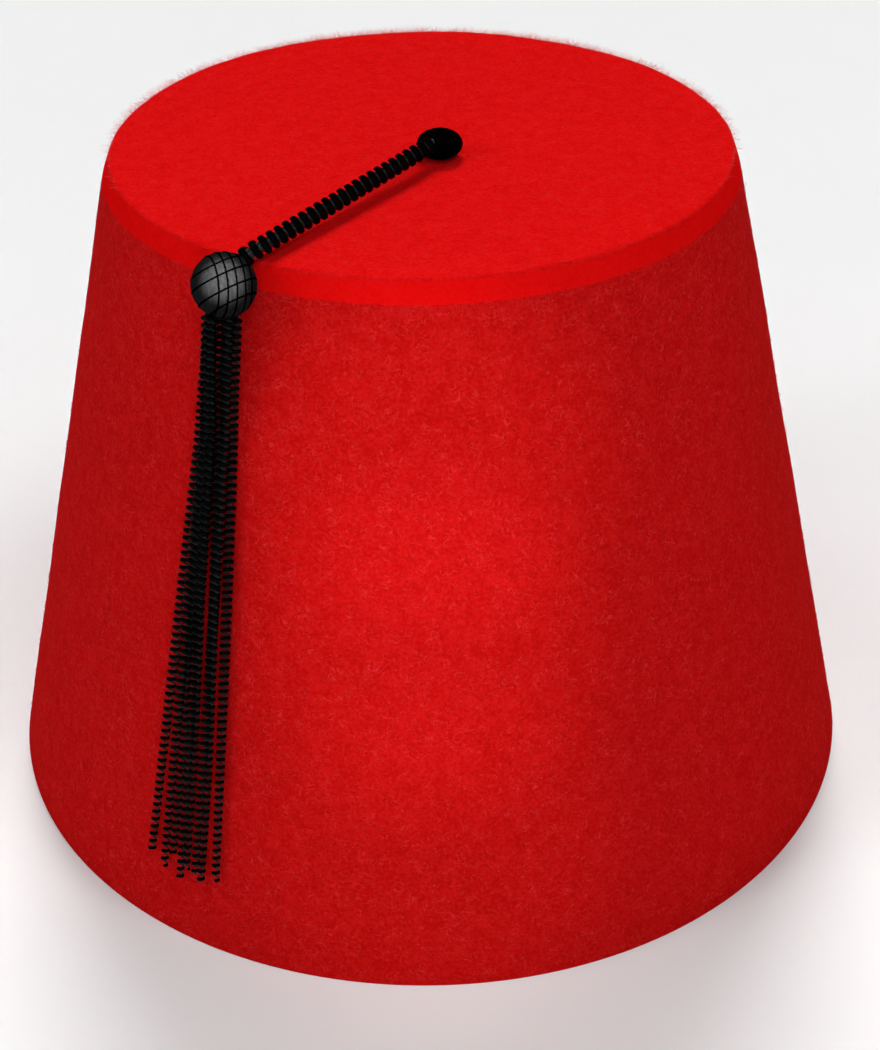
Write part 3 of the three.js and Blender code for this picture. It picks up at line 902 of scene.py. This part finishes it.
def top_fibres():
    """Shorter fibres that lie on the top."""
    rng = np.random.default_rng(TOP_FIBRE_SEED)
    count, steps = TOP_FIBRES, TOP_FIBRE_STEPS
    radius = TOP_RADIUS * np.sqrt(rng.uniform(0, 1, count)) * TOP_FIBRE_REACH
    azimuth = rng.uniform(0, 2 * math.pi, count)
    x, y = curls(rng, count, steps, TOP_FIBRE_LENGTH, TOP_FIBRE_TURNING)
    x = x + (radius * np.sin(azimuth))[:, None]
    y = y - (radius * np.cos(azimuth))[:, None]
    inside = np.minimum(1.0, (TOP_RADIUS - TOP_FIBRE_MARGIN) / np.maximum(np.hypot(x, y), TINY))
    arch, lift = bowed(rng, count, steps, TOP_FIBRE_BOW, TOP_FIBRE_LIFT)
    height = CROWN_HEIGHT + lift + arch
    points = np.stack([x * inside, y * inside, height], -1)
    normals = np.broadcast_to(np.array([0.0, 0.0, 1.0]), points.shape)
    return fibre_tubes(points, normals, rng.uniform(*TOP_FIBRE_THICKNESS, count))


def edge_fuzz():
    """Short fibres that stand off the back of the edge between the top and the band."""
    rng = np.random.default_rng(FUZZ_SEED)
    count = FUZZ_FIBRES
    azimuth = math.pi + rng.triangular(-FUZZ_REACH, 0.0, FUZZ_REACH, count)
    lean = rng.uniform(*FUZZ_LEAN, count)
    length = FUZZ_SHORTEST + FUZZ_LONGER * rng.uniform(0, 1, count) ** FUZZ_POWER
    share = np.linspace(0, 1, FUZZ_STEPS)[None, :]
    drift = rng.normal(0, FUZZ_DRIFT, (count, 1)) * share
    rise = lean[:, None] + rng.normal(0, FUZZ_CURL, (count, 1)) * share
    radius = TOP_RADIUS - FUZZ_INSIDE + length[:, None] * share * np.cos(rise)
    height = CROWN_HEIGHT - FUZZ_UNDER + length[:, None] * share * np.sin(rise) * FUZZ_FLATNESS
    angle = azimuth[:, None] + drift / TOP_RADIUS
    points = np.stack([radius * np.sin(angle), -radius * np.cos(angle), height], -1)
    normals = np.stack([np.cos(angle), np.sin(angle), np.zeros(angle.shape)], -1)
    return fibre_tubes(points, normals, rng.uniform(*FUZZ_THICKNESS, count))


dress(mesh_object("fibres_side", *side_fibres(), [side_fibre]), "felt")
dress(mesh_object("fibres_top", *top_fibres(), [top_fibre_lit]), "felt")
dress(mesh_object("edge_fuzz", *edge_fuzz(), [fuzz_fibre_lit]), "felt")

# Floor, light and background

STAGE_RADIUS = 12.0
BACKDROP_GLOW = 0.33
BACKDROP_SIDES = 96
BACKDROP_ROWS = 25
BACKDROP_FOOT = -0.05  # angle of its foot, just under the floor
BACKDROP_POLE = 0.02  # angle that its last small face covers
WORLD_COLOUR = (0.95, 0.97, 1.0, 1.0)
WORLD_STRENGTH = 0.06


def stage_material(name, glow=0.0):
    """Pale matt paper. The backdrop's also glows, because little light reaches it."""
    shader = Shader(name)
    tone = shader.noise(14.0, detail=2.0)
    colour = shader.mix(tone, (0.80, 0.80, 0.80), (0.82, 0.82, 0.82))
    return shader.finish(colour, 0.9, None, Specular_IOR_Level=0.1,
                         Emission_Color=(1.0, 1.0, 1.0, 1.0), Emission_Strength=glow)


def make_floor():
    half = STAGE_RADIUS / MM
    corners = [(-half, -half, 0), (half, -half, 0), (half, half, 0), (-half, half, 0)]
    mesh_object("floor", corners, [(0, 1, 2, 3)], [stage_material("floor")])


def make_backdrop():
    """A pale dome far behind everything, for low views. It only shows, and keeps no light out."""
    rise = np.linspace(BACKDROP_FOOT, math.pi / 2 - BACKDROP_POLE, BACKDROP_ROWS)
    azimuth = np.arange(BACKDROP_SIDES) * 2 * math.pi / BACKDROP_SIDES
    points = np.stack([np.cos(rise)[:, None] * np.cos(azimuth), np.cos(rise)[:, None] * np.sin(azimuth),
                       np.sin(rise)[:, None] + 0 * azimuth], -1).reshape(-1, 3) * STAGE_RADIUS / MM
    faces = [face[::-1] for face in grid_faces(BACKDROP_ROWS, BACKDROP_SIDES)]
    faces.append(tuple(range(len(points) - 1, len(points) - 1 - BACKDROP_SIDES, -1)))
    dome = mesh_object("backdrop", points, faces, [stage_material("backdrop", BACKDROP_GLOW)])
    dome.visible_shadow = False
    dome.visible_diffuse = False
    dome.visible_glossy = False


SUN_SOFTNESS = math.radians(20)
SUN_DISTANCE = 2.0
SUNS = [  # name, azimuth from the front, elevation, strength on a surface that faces it
    ("left_high", -90, 60, 0.10),
    ("key", -66, 30, 0.22),
    ("right", 60, 35, 0.05),
    ("right_high", 60, 60, 0.26),
    ("back", 180, 50, 0.74),
]
LAMP_SIZE = 0.15
LAMP_DISTANCE = 0.35
LAMP_AIM = (0.0, -0.07, 0.07)
LAMPS = [  # name, azimuth from the front, elevation, strength on a surface at LAMP_AIM
    ("front_low", 0, 20, 0.16),
    ("front_high", 0, 50, 0.17),
]
SPOT_SIZE = 0.0005
SPOTS = [  # name, azimuth from the front, elevation, distance, cone in degrees, strength, what it lights
    ("front_spot_high", 0, 35, 0.60, 7.8, 0.34, (0.000, -0.076, 0.112)),
    ("front_spot", 0, 35, 0.60, 7.8, 0.36, (0.000, -0.082, 0.074)),
    ("front_spot_low", 0, 35, 0.60, 8.6, 0.19, (0.000, -0.090, 0.030)),
    ("ball_spot", 7, 36, 0.45, 1.22, 17.0, tuple(BALL_CENTRE * MM)),
]


def place_light(name, kind, azimuth, elevation, distance, aim, energy):
    """A light that shines on the point aim from the given side."""
    data = bpy.data.lights.new(name, kind)
    data.energy = energy
    light = bpy.data.objects.new(name, data)
    azimuth, elevation = math.radians(azimuth), math.radians(elevation)
    way = Vector((math.sin(azimuth) * math.cos(elevation), -math.cos(azimuth) * math.cos(elevation),
                  math.sin(elevation)))
    light.location = Vector(aim) + distance * way
    light.rotation_euler = way.to_track_quat("Z", "Y").to_euler()
    bpy.context.scene.collection.objects.link(light)
    return light


def make_lights():
    for name, azimuth, elevation, strength in SUNS:
        sun = place_light(name, "SUN", azimuth, elevation, SUN_DISTANCE, (0, 0, 0),
                          math.pi * strength)
        sun.data.angle = SUN_SOFTNESS
        sun.visible_glossy = False
    for name, azimuth, elevation, strength in LAMPS:
        lamp = place_light(name, "AREA", azimuth, elevation, LAMP_DISTANCE, LAMP_AIM,
                           math.pi ** 2 * LAMP_DISTANCE ** 2 * strength)
        lamp.data.shape = "DISK"
        lamp.data.size = LAMP_SIZE
    for name, azimuth, elevation, distance, cone, strength, aim in SPOTS:
        spot = place_light(name, "SPOT", azimuth, elevation, distance, aim,
                           4 * math.pi ** 2 * distance ** 2 * strength)
        spot.data.spot_size = math.radians(cone)
        spot.data.spot_blend = 1.0
        spot.data.shadow_soft_size = SPOT_SIZE


def make_world():
    """A faint even light from all sides."""
    world = bpy.data.worlds.new("world")
    world.use_nodes = True
    background = world.node_tree.nodes["Background"]
    background.inputs["Color"].default_value = WORLD_COLOUR
    background.inputs["Strength"].default_value = WORLD_STRENGTH
    bpy.context.scene.world = world


make_floor()
make_backdrop()
make_lights()
make_world()
bpy.context.scene.view_settings.view_transform = "Standard"
